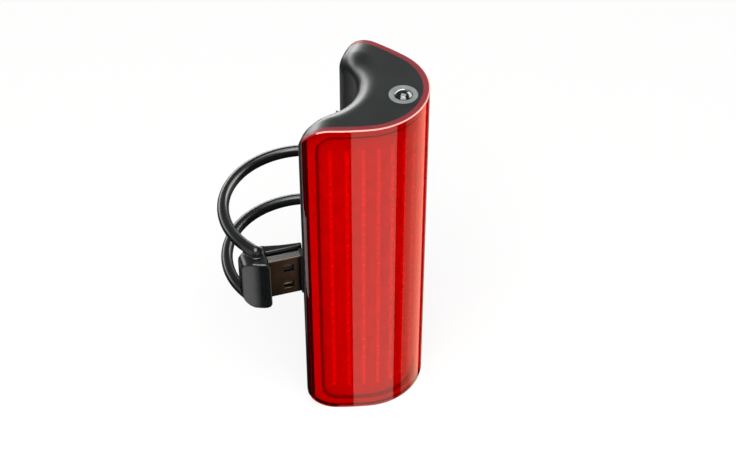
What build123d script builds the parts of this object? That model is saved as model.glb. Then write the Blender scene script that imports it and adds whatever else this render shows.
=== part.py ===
from build123d import *
from math import acos, cos, degrees, radians, sin
import os

os.makedirs("parts", exist_ok=True)

# Rear bicycle light, in millimetres. The origin is on the axis of the seat post that the
# concave back takes, at the middle of the light's height. +Z is up along the post and
# +X is the way the light shines. The outline is symmetric about the XZ plane.

# Outline of the light, seen from above
body_height = 95.0
wall_radius = 12.9
wall_half_angle = 57.0
back_x = 4.65
horn_radius = 2.1
nose_centre_x = 14.75
nose_radius = 15.8
nose_half_angle = 66.3
side_radius = 68.0

# Outline of the light, seen from the side
horn_corner_radius = 8.5
back_relief = 0.4
round_fade_radius = 6.5

# Lens, window frame and seal, counted inwards from the outer skin
lens_thickness = 1.6
lens_edge_x = 5.8
lens_edge_chamfer = 0.25
rim_width = 1.45
frame_gap = 0.1
frame_thickness = 0.6
frame_end_margin = 0.6
window_run = 2.8
window_end_margin = 2.5
window_corner_radius = 4.5
seal_width = 0.5

# LED board and its rows of dice
board_gap = 0.2
led_board_thickness = 0.6
led_board_end_margin = 2.8
led_board_run = 3.2
row_count = 15
row_pitch = 3.95
die_count = 25
row_end_margin = 4.75
die_size = 0.6
die_height = 0.28
row_strip_width = 0.9
row_strip_height = 0.12

# Housing
housing_wall = 2.0
end_wall = 2.2
cavity_back_x = 8.05
front_ledge = 0.1
fit_gap = 0.05

# Power button, its light ring and the switch under it
button_nose_gap = 5.85
button_radius = 2.05
button_proud = 0.9
button_dome_height = 0.8
button_flange_radius = 2.5
button_flange_thickness = 0.7
button_stem_radius = 0.8
button_stem_length = 1.5
button_travel = 0.4
button_gap = 0.15
ring_radius = 3.4
ring_flange_thickness = 0.6
ring_tube_radius = 2.7
plunger_radius = 0.9
plunger_length = 1.0
plunger_gap = 0.1
switch_length = 2.6
switch_width = 4.0
switch_height = 2.0
switch_board_thickness = 0.8
switch_board_length = 8.6
switch_board_width = 8.4
switch_post_radius = 1.3
switch_post_inset = 1.8
status_led_size = 1.0
status_led_height = 0.6
status_led_offset = 3.0
status_led_spread = 1.2

# Main board and what is on it
main_board_nose_gap = 8.55
main_board_thickness = 0.8
main_board_side_gap = 8.6
main_board_lower_margin = 5.5
main_board_upper_margin = 11.5
board_post_radius = 1.5
board_post_side_gap = 1.7
board_post_end_gap = 2.75
screw_head_radius = 1.4
screw_head_height = 1.0
screw_shank_radius = 0.8
screw_length = 4.5
connector_half_width = 2.5
connector_half_height = 3.0
connector_clearance = 0.4
coil_size = 5.0
coil_height = 2.4
coil_z = 13.0
control_chip_size = 5.0
control_chip_z = 22.0
charge_chip_size = 3.0
charge_chip_z = -14.0
chip_height = 0.9
capacitor_length = 1.6
capacitor_width = 0.8
capacitor_pitch = 3.0
capacitor_count = 5
capacitor_side_gap = 2.2
capacitor_z = 4.0
socket_length = 2.0
socket_half_width = 3.6
socket_height = 4.0

# Rechargeable pouch cell
cell_wall_gap = 0.6
cell_side_gap = 7.3
cell_lower_gap = 7.0
cell_upper_gap = 9.0
cell_corner_radius = 1.6
cell_board_gap = 0.5
tape_y = 6.0
tape_width = 4.0
tape_margin = 6.0
lead_diameter = 0.9
lead_spread = 1.6
lead_rise = 4.0
lead_bend_radius = 1.1

# USB-A plug: its length runs away from the light, its width along Z
plug_angle = 33.4
plug_inner_face = 12.8
plug_thickness = 2.4
plug_width = 12.0
plug_root = 4.6
plug_tip = 18.0
shell_wall = 0.3
plug_window_start = 7.4
plug_window_length = 2.6
plug_window_height = 2.5
plug_window_offset = 2.75
insulator_thickness = 1.0
insulator_recess = 0.3
contact_width = 1.0
contact_thickness = 0.15
contact_start = 8.0
contact_inner_z = 1.0
contact_outer_z = 3.5
plug_board_depth = 14.0
plug_board_thickness = 0.8
plug_board_inner_end = -3.5
plug_board_half_width = 5.5
boot_start = 2.5
boot_end = 5.6
boot_wall = 0.4
ribbon_thickness = 0.3
ribbon_half_width = 4.0
ribbon_radius = 1.2
ribbon_socket_width = 2.4
ribbon_socket_height = 1.6
ribbon_socket_inset = 0.4
ribbon_end_depth = 0.4
ribbon_gap = 0.2
ribbon_room = 2.0
ribbon_wall_inset = 0.4
ribbon_cell_gap = 1.8
ribbon_board_inset = 0.9
ribbon_board_gap = 2.0

# Silicone saddle on the concave back
saddle_thickness = 1.0
saddle_half_height = 29.5
saddle_corner_radius = 5.0
saddle_wrap = 45.0
saddle_notch_gap = 0.3

# Strap: two round cords, the cap that closes it over the plug, and the anchor
strap_radius = 20.8
cord_diameter = 3.0
cord_spacing = 17.0
strap_mid_z = -1.8
cord_start_angle = 115.0
cord_end_angle = 240.0
cord_entry_radius = 9.7
cord_entry_turn = 81.0
cord_cap_gap = 0.05
stub_end_angle = 252.0
cap_start = 13.64
cap_end = 20.4
cap_inner_face = 10.6
cap_face_radius = 10.0
cap_face_centre = 7.4
cap_half_height = 7.5
cap_corner_radius = 3.0
cap_inner_corner_radius = 1.4
cap_edge_radius = 0.5
cap_clearance = 0.08
plug_end_room = 0.3
tongue_start = 4.5
tongue_front = 12.45
tongue_overlap = 1.0
tongue_half_height = 7.1
tongue_middle = 9.5
tongue_depth_start = 11.3
tongue_depth_middle = 10.8
tongue_depth_end = 9.65
anchor_front_x = 0.9
anchor_horn_offset = 1.11
anchor_half_width = 2.2
anchor_margin = 2.2
anchor_edge_radius = 1.2
pocket_horn_offset = 2.21
pocket_half_width = 1.2
pocket_depth = 2.8
pocket_margin = 1.2
pin_radius = 0.8
pin_bite = 1.5

# Places that follow from the sizes above
half_height = body_height / 2
nose_turn = radians(nose_half_angle)
side_x = nose_centre_x + (nose_radius - side_radius) * cos(nose_turn)
side_y = (nose_radius - side_radius) * sin(nose_turn)
horn_x = back_x + horn_radius
horn_angle = degrees(acos((horn_x - side_x) / (side_radius - horn_radius)))
horn_y = side_y + (side_radius - horn_radius) * sin(radians(horn_angle))
flank_radius = (wall_radius * cos(radians(wall_half_angle)) - back_x) / (1 - cos(radians(wall_half_angle)))
back_edge_radius = flank_radius - fit_gap
flank_x = (wall_radius + flank_radius) * cos(radians(wall_half_angle))
flank_y = (wall_radius + flank_radius) * sin(radians(wall_half_angle))
nose_x = nose_centre_x + nose_radius
anchor_y = horn_y - anchor_horn_offset
pocket_y = horn_y - pocket_horn_offset

lens_end = degrees(acos((lens_edge_x - side_x) / side_radius))
frame_end = lens_end - degrees(rim_width / side_radius)
window_x = lens_edge_x + window_run
frame_depth = lens_thickness + frame_gap
frame_back = frame_depth + frame_thickness
ledge_depth = frame_back + front_ledge
led_board_depth = frame_back + board_gap
led_board_back = led_board_depth + led_board_thickness
led_board_end = lens_end - degrees(led_board_run / side_radius)

window_half_height = half_height - window_end_margin
led_board_half_height = half_height - led_board_end_margin
row_length = 2 * (window_half_height - row_end_margin)
die_pitch = (row_length - row_strip_width) / (die_count - 1)

button_x = nose_x - button_nose_gap
ceiling_z = half_height - end_wall
flange_top_z = ceiling_z - fit_gap
flange_bottom_z = flange_top_z - button_flange_thickness
stem_end_z = flange_bottom_z - button_stem_length
plunger_top_z = stem_end_z - fit_gap
switch_top_z = plunger_top_z - plunger_length
switch_board_top = switch_top_z - switch_height
switch_board_bottom = switch_board_top - switch_board_thickness
switch_board_front = button_x + switch_length / 2
switch_post_x = switch_board_front - switch_board_length + switch_post_inset
switch_post_y = switch_board_width / 2 - switch_post_inset

main_board_x = nose_x - main_board_nose_gap
main_board_front = main_board_x + main_board_thickness
main_board_half_width = nose_radius - main_board_side_gap
board_post_y = main_board_half_width - board_post_side_gap
capacitor_y = main_board_half_width - capacitor_side_gap
main_board_bottom = -half_height + main_board_lower_margin
main_board_top = half_height - main_board_upper_margin
cell_bottom = main_board_bottom + cell_lower_gap
cell_top = main_board_top - cell_upper_gap
cell_front = main_board_x - cell_board_gap
cell_back = wall_radius + housing_wall + cell_wall_gap
cell_half_width = nose_radius - cell_side_gap
cell_middle_x = (cell_front + cell_back) / 2

plug_outer_face = plug_inner_face + plug_thickness
cord_radius = cord_diameter / 2
upper_cord_z = strap_mid_z + cord_spacing / 2
lower_cord_z = strap_mid_z - cord_spacing / 2
anchor_half_height = cord_spacing / 2 + anchor_margin
pocket_half_height = cord_spacing / 2 + pocket_margin

# Frame of the plug: x runs out along the plug, y away from the post and z up
plug_frame = Plane(
    origin=(0, 0, strap_mid_z),
    x_dir=(-cos(radians(plug_angle)), -sin(radians(plug_angle)), 0),
    z_dir=(0, 0, 1),
)


def block(x0, x1, y0, y1, z0, z1):
    """Box between three pairs of limits."""
    return Pos((x0 + x1) / 2, (y0 + y1) / 2, (z0 + z1) / 2) * Box(x1 - x0, y1 - y0, z1 - z0)


def upright(x, y, radius, z0, z1):
    """Cylinder along Z."""
    return Pos(x, y, (z0 + z1) / 2) * Cylinder(radius, z1 - z0)


def along_x(x0, x1, y, z, radius):
    """Cylinder along X."""
    return Pos((x0 + x1) / 2, y, z) * Rot(0, 90, 0) * Cylinder(radius, x1 - x0)


def raised(face, bottom, top):
    """Flat face of the plan view made into a solid between two heights."""
    return extrude(Pos(0, 0, bottom) * face, top - bottom)


def skin_curve(depth, end_angle):
    """Outline of the front, inset by depth, from the -Y side round the nose to the +Y side."""
    side = side_radius - depth
    sweep_angle = end_angle - nose_half_angle
    return [
        CenterArc((side_x, -side_y), side, -end_angle, sweep_angle),
        CenterArc((nose_centre_x, 0), nose_radius - depth, -nose_half_angle, 2 * nose_half_angle),
        CenterArc((side_x, side_y), side, nose_half_angle, sweep_angle),
    ]


def skin_face(outer_depth, inner_depth, end_angle):
    """Band between two depths of the skin."""
    outer = skin_curve(outer_depth, end_angle)
    inner = skin_curve(inner_depth, end_angle)
    ends = [Line(outer[0] @ 0, inner[0] @ 0), Line(outer[2] @ 1, inner[2] @ 1)]
    return make_face([*outer, *inner, *ends])


def skin_place(depth, run):
    """Place and turn on the skin at a distance along it from the nose line."""
    side = 1 if run >= 0 else -1
    nose_run = nose_radius * nose_turn
    if abs(run) <= nose_run:
        turn = abs(run) / nose_radius
        x = nose_centre_x + (nose_radius - depth) * cos(turn)
        y = (nose_radius - depth) * sin(turn)
    else:
        turn = nose_turn + (abs(run) - nose_run) / side_radius
        x = side_x + (side_radius - depth) * cos(turn)
        y = side_y + (side_radius - depth) * sin(turn)
    return Pos(x, side * y, 0) * Rot(0, 0, side * degrees(turn))


def outline_face():
    """Crescent outline of the whole light, seen from above."""
    edges = skin_curve(0, horn_angle)
    edges.append(CenterArc((horn_x, horn_y), horn_radius, horn_angle, 180 - horn_angle))
    edges.append(CenterArc((horn_x, -horn_y), horn_radius, 180, 180 - horn_angle))
    edges.append(Line((back_x, horn_y), (back_x, flank_y)))
    edges.append(Line((back_x, -horn_y), (back_x, -flank_y)))
    edges.append(CenterArc((flank_x, flank_y), flank_radius, 180, wall_half_angle))
    edges.append(CenterArc((flank_x, -flank_y), flank_radius, 180 - wall_half_angle, wall_half_angle))
    edges.append(CenterArc((0, 0), wall_radius, -wall_half_angle, 2 * wall_half_angle))
    return make_face(edges)


def side_profile(start_x, top, corner):
    """Block with the side view's rounded back corners, open to the front."""
    reach = 2 * nose_x
    solid = block(start_x, reach, -reach, reach, -top, top)
    return fillet(solid.edges().filter_by(Axis.Y).group_by(Axis.X)[0], corner)


def inset_profile(inset):
    """Side profile, smaller all round by the same distance."""
    return side_profile(back_x - back_relief + inset, half_height - inset, horn_corner_radius - inset)


def back_face():
    """Plan of the concave back with wide corners, open far past the front."""
    reach = 2 * nose_x
    half_width = horn_y + round_fade_radius
    corner_x = back_x + round_fade_radius
    edges = [CenterArc((0, 0), wall_radius, -wall_half_angle, 2 * wall_half_angle)]
    for side in (-1, 1):
        edges.append(CenterArc((flank_x, side * flank_y), flank_radius, 180, side * wall_half_angle))
        edges.append(Line((back_x, side * flank_y), (back_x, side * horn_y)))
        edges.append(CenterArc((corner_x, side * horn_y), round_fade_radius, 180, -side * 90))
        edges.append(Line((corner_x, side * half_width), (reach, side * half_width)))
    edges.append(Line((reach, -half_width), (reach, half_width)))
    return make_face(edges)


def rounded_back():
    """Upright block whose top and bottom edges have the large round of the back. Its corners are
    wider than the horns, so that the round fades out on them before it comes to the lens."""
    solid = raised(back_face(), -half_height, half_height) & inset_profile(0)
    ends = [
        solid.edges().sort_by_distance((wall_radius, 0, z))[0] for z in (-half_height, half_height)
    ]
    return fillet(ends, back_edge_radius)


def make_body():
    """Whole outside of the light, before it is divided into housing and lens."""
    outside = raised(outline_face(), -half_height, half_height) & inset_profile(0)
    return outside & rounded_back()


def make_lens(body):
    """Clear red skin over the whole convex front."""
    skin = raised(skin_face(0, lens_thickness, lens_end), -half_height, half_height)
    lens = skin & body
    arcs = lens.edges().filter_by(GeomType.CIRCLE)
    ends = [edge for edge in arcs if abs((edge @ 0.5).Z) > half_height - fit_gap]
    outer = [
        edge
        for edge in ends
        if abs(edge.radius - nose_radius) < fit_gap or abs(edge.radius - side_radius) < fit_gap
    ]
    return chamfer(outer, lens_edge_chamfer)


def make_window_frame():
    """White frame round the LED window, behind the lens."""
    ring = raised(skin_face(frame_depth, frame_back, frame_end), -half_height, half_height)
    opening = side_profile(window_x, window_half_height, window_corner_radius)
    return (ring & inset_profile(frame_end_margin)) - opening


def make_frame_seal():
    """Dark line inside the window frame."""
    ring = raised(skin_face(frame_depth, frame_back, frame_end), -half_height, half_height)
    outside = side_profile(window_x, window_half_height, window_corner_radius)
    inside = side_profile(
        window_x + seal_width, window_half_height - seal_width, window_corner_radius - seal_width
    )
    return (ring & outside) - inside


def make_led_board():
    """Curved aluminium-core board behind the window."""
    face = skin_face(led_board_depth, led_board_back, led_board_end)
    return raised(face, -led_board_half_height, led_board_half_height)


def make_led_row(index):
    """One upright row of dice on its silicone strip."""
    run = (index - (row_count - 1) / 2) * row_pitch
    lift = die_height + row_strip_height
    half_width = row_strip_width / 2
    row = block(0, row_strip_height, -half_width, half_width, -row_length / 2, row_length / 2)
    for step in range(die_count):
        z = (step - (die_count - 1) / 2) * die_pitch
        row = row + block(0, lift, -die_size / 2, die_size / 2, z - die_size / 2, z + die_size / 2)
    return skin_place(led_board_depth, run) * row


def button_hole():
    """Stepped hole through the top wall for the light ring."""
    flange = upright(button_x, 0, ring_radius + fit_gap, half_height - ring_flange_thickness, half_height)
    tube = upright(button_x, 0, ring_tube_radius + fit_gap, ceiling_z, half_height)
    return flange + tube


def board_post(y, z):
    """Round post from the concave wall to the back of the main board."""
    root = (wall_radius**2 - y**2) ** 0.5 + housing_wall / 2
    return along_x(root, main_board_x, y, z, board_post_radius)


def board_screw_places():
    """Y and Z of the four screws of the main board."""
    heights = (main_board_bottom + board_post_end_gap, main_board_top - board_post_end_gap)
    return [(y, z) for y in (-board_post_y, board_post_y) for z in heights]


def make_housing(body, lens_band):
    """Black shell: concave back, horns, top, bottom, posts and the holes through them."""
    cavity = raised(skin_face(lens_thickness, ledge_depth, frame_end), -half_height, half_height)
    cavity = cavity & inset_profile(frame_end_margin - front_ledge)
    inner_edges = skin_curve(ledge_depth - fit_gap, frame_end)
    inner_face = make_face([*inner_edges, Line(inner_edges[2] @ 1, inner_edges[0] @ 0)])
    inner = raised(inner_face, -ceiling_z, ceiling_z)
    inner = inner & block(cavity_back_x, nose_x, -nose_x, nose_x, -ceiling_z, ceiling_z)
    inner = inner - Cylinder(wall_radius + housing_wall, body_height)
    housing = body - lens_band - cavity - inner - button_hole()
    for y, z in board_screw_places():
        housing = housing + board_post(y, z)
    for side in (-1, 1):
        housing = housing + upright(
            switch_post_x, side * switch_post_y, switch_post_radius, switch_board_top, ceiling_z
        )
    housing = housing - plug_frame * plug_board_block(fit_gap, boot_end)
    housing = housing - plug_frame * (Pos(-ribbon_room, 0, 0) * plug_board_block(fit_gap, plug_root))
    housing = housing - strap_pocket()
    housing = housing - strap_pin_block()
    for screw in make_board_screws() + make_switch_screws():
        housing = housing - screw
    return housing


def make_post_saddle():
    """Silicone saddle on the concave back, wrapped a little way round both flanks."""
    inner = wall_radius - saddle_thickness
    flank = flank_radius + saddle_thickness
    start = 180 + wall_half_angle
    edges = [
        CenterArc((0, 0), wall_radius, -wall_half_angle, 2 * wall_half_angle),
        CenterArc((0, 0), inner, -wall_half_angle, 2 * wall_half_angle),
    ]
    for side in (-1, 1):
        near = CenterArc((flank_x, side * flank_y), flank_radius, side * start, -side * saddle_wrap)
        far = CenterArc((flank_x, side * flank_y), flank, side * start, -side * saddle_wrap)
        edges += [near, far, Line(near @ 1, far @ 1)]
    saddle = raised(make_face(edges), -saddle_half_height, saddle_half_height)
    saddle_half_width = flank_y + flank_radius * sin(radians(start - saddle_wrap))
    sheet = block(
        0, nose_x, -saddle_half_width, saddle_half_width, -saddle_half_height, saddle_half_height
    )
    saddle = saddle & fillet(sheet.edges().filter_by(Axis.X), saddle_corner_radius)
    return saddle - plug_frame * boot_block(fit_gap) - anchor_notch()


def anchor_notch():
    """Notch in the far edge of the saddle that the strap's anchor passes through."""
    reach = anchor_half_height + saddle_notch_gap
    inner_y = pocket_y - pocket_half_width - saddle_notch_gap
    return block(0, nose_x, inner_y, 2 * inner_y, strap_mid_z - reach, strap_mid_z + reach)


def plug_board_block(clearance, outer_end):
    """Small board inside the horn that carries the plug, in the plug's frame."""
    return block(
        plug_board_inner_end - clearance,
        outer_end + clearance,
        plug_board_depth - clearance,
        plug_board_depth + plug_board_thickness + clearance,
        -plug_board_half_width - clearance,
        plug_board_half_width + clearance,
    )


def strap_pocket():
    """Pocket in the back of the far horn for the strap's anchor."""
    return block(
        back_x - 1,
        back_x + pocket_depth,
        pocket_y - pocket_half_width,
        pocket_y + pocket_half_width,
        strap_mid_z - pocket_half_height,
        strap_mid_z + pocket_half_height,
    )


def strap_pin_block():
    """Pin through the anchor, along Z."""
    x = back_x + pocket_depth / 2
    reach = pocket_half_height + pin_bite
    return upright(x, pocket_y, pin_radius, strap_mid_z - reach, strap_mid_z + reach)


def make_board_screws():
    """Four screws through the main board into the housing's posts."""
    screws = []
    for y, z in board_screw_places():
        shank = along_x(main_board_front - screw_length, main_board_front, y, z, screw_shank_radius)
        head = along_x(main_board_front, main_board_front + screw_head_height, y, z, screw_head_radius)
        screws.append(shank + head)
    return screws


def make_switch_screws():
    """Two screws up through the switch board into the posts of the top wall."""
    screws = []
    for side in (-1, 1):
        y = side * switch_post_y
        shank_top = switch_board_bottom + screw_length
        shank = upright(switch_post_x, y, screw_shank_radius, switch_board_bottom, shank_top)
        head_bottom = switch_board_bottom - screw_head_height
        head = upright(switch_post_x, y, screw_head_radius, head_bottom, switch_board_bottom)
        screws.append(shank + head)
    return screws


def make_light_ring():
    """Translucent ring round the button, stepped so that it seats in the top wall."""
    flange = upright(button_x, 0, ring_radius, half_height - ring_flange_thickness, half_height)
    tube = upright(button_x, 0, ring_tube_radius, ceiling_z, half_height)
    return flange + tube - upright(button_x, 0, button_radius + button_gap, ceiling_z, half_height)


def make_power_button():
    """Domed button with a flange that keeps it under the ring and a stem down to the switch."""
    rim_z = half_height + button_proud - button_dome_height
    dome_radius = (button_radius**2 + button_dome_height**2) / (2 * button_dome_height)
    dome = Pos(button_x, 0, half_height + button_proud - dome_radius) * Sphere(dome_radius)
    dome = dome & upright(button_x, 0, button_radius, rim_z - fit_gap, half_height + button_proud)
    body = upright(button_x, 0, button_radius, flange_bottom_z, rim_z)
    flange = upright(button_x, 0, button_flange_radius, flange_bottom_z, flange_top_z)
    stem = upright(button_x, 0, button_stem_radius, stem_end_z, flange_bottom_z)
    return dome + body + flange + stem


def make_switch_plunger():
    """Moving plunger of the switch, just under the button's stem, with its foot inside the switch."""
    return upright(button_x, 0, plunger_radius, switch_top_z - plunger_gap, plunger_top_z)


def make_power_switch():
    """Body of the switch, with a well for its plunger."""
    x0 = button_x - switch_length / 2
    x1 = button_x + switch_length / 2
    body = block(x0, x1, -switch_width / 2, switch_width / 2, switch_board_top, switch_top_z)
    well_bottom = switch_top_z - 2 * plunger_gap - button_travel
    return body - upright(button_x, 0, plunger_radius + plunger_gap, well_bottom, switch_top_z)


def make_switch_board():
    """Small level board that carries the switch and the status LEDs."""
    half = switch_board_width / 2
    back = switch_board_front - switch_board_length
    board = block(back, switch_board_front, -half, half, switch_board_bottom, switch_board_top)
    for screw in make_switch_screws():
        board = board - screw
    return board


def make_status_leds():
    """Two status LEDs below the light ring."""
    x = button_x - status_led_offset
    size = status_led_size / 2
    top = switch_board_top + status_led_height
    return [
        block(x - size, x + size, y - size, y + size, switch_board_top, top)
        for y in (-status_led_spread, status_led_spread)
    ]


def make_main_board():
    """Main board, upright between the cell and the LED board."""
    board = block(
        main_board_x,
        main_board_front,
        -main_board_half_width,
        main_board_half_width,
        main_board_bottom,
        main_board_top,
    )
    for screw in make_board_screws():
        board = board - screw
    return board


def board_chip(size, height, z):
    """Square part on the front of the main board."""
    half = size / 2
    return block(main_board_front, main_board_front + height, -half, half, z - half, z + half)


def make_power_coil():
    """Shielded coil with rounded corners and a round winding window."""
    coil = board_chip(coil_size, coil_height, coil_z)
    coil = fillet(coil.edges().filter_by(Axis.X), coil_size / 6)
    front = main_board_front + coil_height
    return coil - along_x(front - chip_height / 2, front, 0, coil_z, coil_size / 3)


def make_led_connector():
    """Stacking connector between the main board and the LED board."""
    front = nose_x - led_board_back - connector_clearance
    return block(
        main_board_front,
        front,
        -connector_half_width,
        connector_half_width,
        -connector_half_height,
        connector_half_height,
    )


def make_capacitors():
    """Row of small ceramic capacitors beside the coil."""
    solids = []
    for step in range(capacitor_count):
        z = capacitor_z + step * capacitor_pitch
        solids.append(
            block(
                main_board_front,
                main_board_front + capacitor_width,
                capacitor_y - capacitor_length / 2,
                capacitor_y + capacitor_length / 2,
                z - capacitor_width / 2,
                z + capacitor_width / 2,
            )
        )
    return solids


def make_cell():
    """Pouch cell with rounded upright edges."""
    cell = block(cell_back, cell_front, -cell_half_width, cell_half_width, cell_bottom, cell_top)
    return fillet(cell.edges().filter_by(Axis.Z), cell_corner_radius)


def make_cell_tapes():
    """Two foam tapes that hold the cell off the concave wall."""
    tapes = []
    for side in (-1, 1):
        y0 = side * tape_y - tape_width / 2
        strip = block(
            0, cell_back, y0, y0 + tape_width, cell_bottom + tape_margin, cell_top - tape_margin
        )
        tapes.append(strip - Cylinder(wall_radius + housing_wall, body_height))
    return tapes


def lead_path(y):
    """From the top of the cell up and forward into the socket."""
    turn_z = cell_top + lead_rise
    points = [
        (cell_middle_x, y, cell_top),
        (cell_middle_x, y, turn_z),
        (main_board_x - socket_length, y, turn_z),
    ]
    return FilletPolyline(*points, radius=lead_bend_radius)


def make_cell_lead(y):
    """One lead of the cell."""
    path = lead_path(y)
    section = Plane(origin=path @ 0, z_dir=path % 0) * Circle(lead_diameter / 2)
    return sweep(section, path=path)


def make_cell_socket():
    """Socket for the cell's leads on the back of the main board."""
    z = cell_top + lead_rise
    return block(
        main_board_x - socket_length,
        main_board_x,
        -socket_half_width,
        socket_half_width,
        z - socket_height / 2,
        z + socket_height / 2,
    )


def make_plug_shell():
    """Metal shell of the plug, with the two square windows near its root."""
    half = plug_width / 2
    shell = block(plug_root, plug_tip, plug_inner_face, plug_outer_face, -half, half)
    shell = fillet(shell.edges().filter_by(Axis.X), shell_wall)
    shell = shell - block(
        plug_root,
        plug_tip,
        plug_inner_face + shell_wall,
        plug_outer_face - shell_wall,
        -half + shell_wall,
        half - shell_wall,
    )
    for side in (-1, 1):
        z = side * plug_window_offset
        shell = shell - block(
            plug_window_start,
            plug_window_start + plug_window_length,
            plug_outer_face - 2 * shell_wall,
            plug_outer_face + shell_wall,
            z - plug_window_height / 2,
            z + plug_window_height / 2,
        )
    return plug_frame * shell


def make_plug_insulator():
    """Insulator inside the shell, against its post side."""
    half = plug_width / 2 - shell_wall
    floor = plug_inner_face + shell_wall
    end = plug_tip - insulator_recess
    return plug_frame * block(plug_root, end, floor, floor + insulator_thickness, -half, half)


def make_plug_contacts():
    """Four flat contacts on the insulator."""
    floor = plug_inner_face + shell_wall + insulator_thickness
    end = plug_tip - 2 * insulator_recess
    contacts = []
    for z in (-contact_outer_z, -contact_inner_z, contact_inner_z, contact_outer_z):
        bar = block(
            contact_start, end, floor, floor + contact_thickness, z - contact_width / 2, z + contact_width / 2
        )
        contacts.append(plug_frame * bar)
    return contacts


def make_plug_board():
    """Small board between the plug and its ribbon."""
    return plug_frame * plug_board_block(0, plug_root)


def boot_block(clearance):
    """Block round the plug's root, in the plug's frame."""
    half = plug_width / 2 + boot_wall + clearance
    inner = plug_inner_face - clearance
    outer = plug_outer_face + boot_wall + clearance
    return block(boot_start, boot_end + clearance, inner, outer, -half, half)


def make_plug_boot(body):
    """Dark boot that closes the step between the housing and the plug."""
    half = plug_width / 2
    shell = block(plug_root, plug_tip, plug_inner_face, plug_outer_face, -half, half)
    boot = boot_block(0) - shell - plug_board_block(0, plug_root)
    boot = plug_frame * boot - body
    return boot.solids().sort_by(SortBy.VOLUME)[-1]


def ribbon_points():
    """Plan of the ribbon, from the plug's board to its socket on the main board."""
    middle = plug_board_depth + plug_board_thickness / 2
    start = plug_frame.from_local_coords((plug_board_inner_end - ribbon_gap, middle, 0))
    end_y = -main_board_half_width + ribbon_socket_inset + ribbon_end_depth
    end = (main_board_front + ribbon_socket_height / 2, end_y)
    beside_cell = (wall_radius + housing_wall - ribbon_wall_inset, -cell_half_width - ribbon_cell_gap)
    beside_board = (main_board_front - ribbon_board_inset, -main_board_half_width - ribbon_board_gap)
    return [(start.X, start.Y), beside_cell, beside_board, end]


def make_plug_ribbon():
    """Flat ribbon from the plug's board round the cell to the main board."""
    path = FilletPolyline(*ribbon_points(), radius=ribbon_radius)
    face = trace(path, ribbon_thickness)
    return raised(face, strap_mid_z - ribbon_half_width, strap_mid_z + ribbon_half_width)


def make_ribbon_socket(ribbon):
    """Socket of the ribbon on the front of the main board."""
    outer_y = -main_board_half_width + ribbon_socket_inset
    reach = ribbon_half_width + ribbon_end_depth
    socket = block(
        main_board_front,
        main_board_front + ribbon_socket_height,
        outer_y,
        outer_y + ribbon_socket_width,
        strap_mid_z - reach,
        strap_mid_z + reach,
    )
    return socket - ribbon


def cord_arc(z, start_angle, end_angle):
    """Stretch of a strap cord on its circle round the post."""
    path = Pos(0, 0, z) * CenterArc((0, 0), strap_radius, start_angle, end_angle - start_angle)
    section = Plane(origin=path @ 0, z_dir=path % 0) * Circle(cord_radius)
    return sweep(section, path=path)


def cord_entry(z):
    """Stretch of a strap cord that leaves the circle for the anchor in the far horn."""
    angle = radians(cord_start_angle)
    start = (strap_radius * cos(angle), strap_radius * sin(angle))
    path = Pos(0, 0, z) * JernArc(start, (sin(angle), -cos(angle)), cord_entry_radius, -cord_entry_turn)
    section = Plane(origin=path @ 0, z_dir=path % 0) * Circle(cord_radius)
    return sweep(section, path=path)


def make_strap_cord(z):
    """One cord of the strap, from the anchor round the back to the cap."""
    gap_angle = degrees(cord_cap_gap / strap_radius)
    return cord_arc(z, cord_start_angle, cord_end_angle - gap_angle) + cord_entry(z)


def make_strap_anchor(cords):
    """Moulded end of the strap: a knuckle behind the far horn and a block in its pocket."""
    middle = strap_mid_z
    knuckle = block(
        anchor_front_x,
        back_x,
        anchor_y - anchor_half_width,
        anchor_y + anchor_half_width,
        middle - anchor_half_height,
        middle + anchor_half_height,
    )
    knuckle = fillet(knuckle.edges().group_by(Axis.X)[0], anchor_edge_radius)
    tenon = block(
        back_x,
        back_x + pocket_depth - fit_gap,
        pocket_y - pocket_half_width + fit_gap,
        pocket_y + pocket_half_width - fit_gap,
        middle - pocket_half_height + fit_gap,
        middle + pocket_half_height - fit_gap,
    )
    anchor = knuckle + tenon - strap_pin_block()
    for cord in cords:
        anchor = anchor - cord
    return anchor


def cap_body():
    """Outside of the cap over the plug, in the plug's frame."""
    half = cap_half_height
    outer = cap_face_centre + cap_face_radius
    solid = block(cap_start, cap_end, cap_inner_face, outer, -half, half)
    crown = Pos(cap_start - cap_edge_radius, cap_face_centre, 0) * Cylinder(cap_face_radius, 2 * half)
    solid = solid & crown
    sheet = block(cap_start, cap_end, 0, outer, -half, half)
    sheet = fillet(sheet.edges().filter_by(Axis.Y).group_by(Axis.X)[-1], cap_corner_radius)
    sheet = fillet(sheet.edges().filter_by(Axis.Y).group_by(Axis.X)[0], cap_inner_corner_radius)
    return solid & sheet


def tongue_body():
    """Curved tongue between the plug and the post, in the plug's frame."""
    end = cap_start + tongue_overlap
    back = ThreePointArc(
        (tongue_start, tongue_depth_start), (tongue_middle, tongue_depth_middle), (end, tongue_depth_end)
    )
    outline = [
        back,
        Line(back @ 1, (end, tongue_front)),
        Line((end, tongue_front), (tongue_start, tongue_front)),
        Line((tongue_start, tongue_front), back @ 0),
    ]
    return raised(make_face(outline), -tongue_half_height, tongue_half_height)


def make_strap_cap():
    """Cap of the strap with its tongue, its socket for the plug and the two cord stubs."""
    half = plug_width / 2 + cap_clearance
    socket = block(
        tongue_start - 1,
        plug_tip + plug_end_room,
        plug_inner_face - cap_clearance,
        plug_outer_face + cap_clearance,
        -half,
        half,
    )
    cap = plug_frame * (cap_body() + tongue_body())
    for z in (upper_cord_z, lower_cord_z):
        angle = radians(stub_end_angle)
        cap = cap + cord_arc(z, cord_end_angle, stub_end_angle)
        cap = cap + Pos(strap_radius * cos(angle), strap_radius * sin(angle), z) * Sphere(cord_radius)
    return cap - plug_frame * socket


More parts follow.
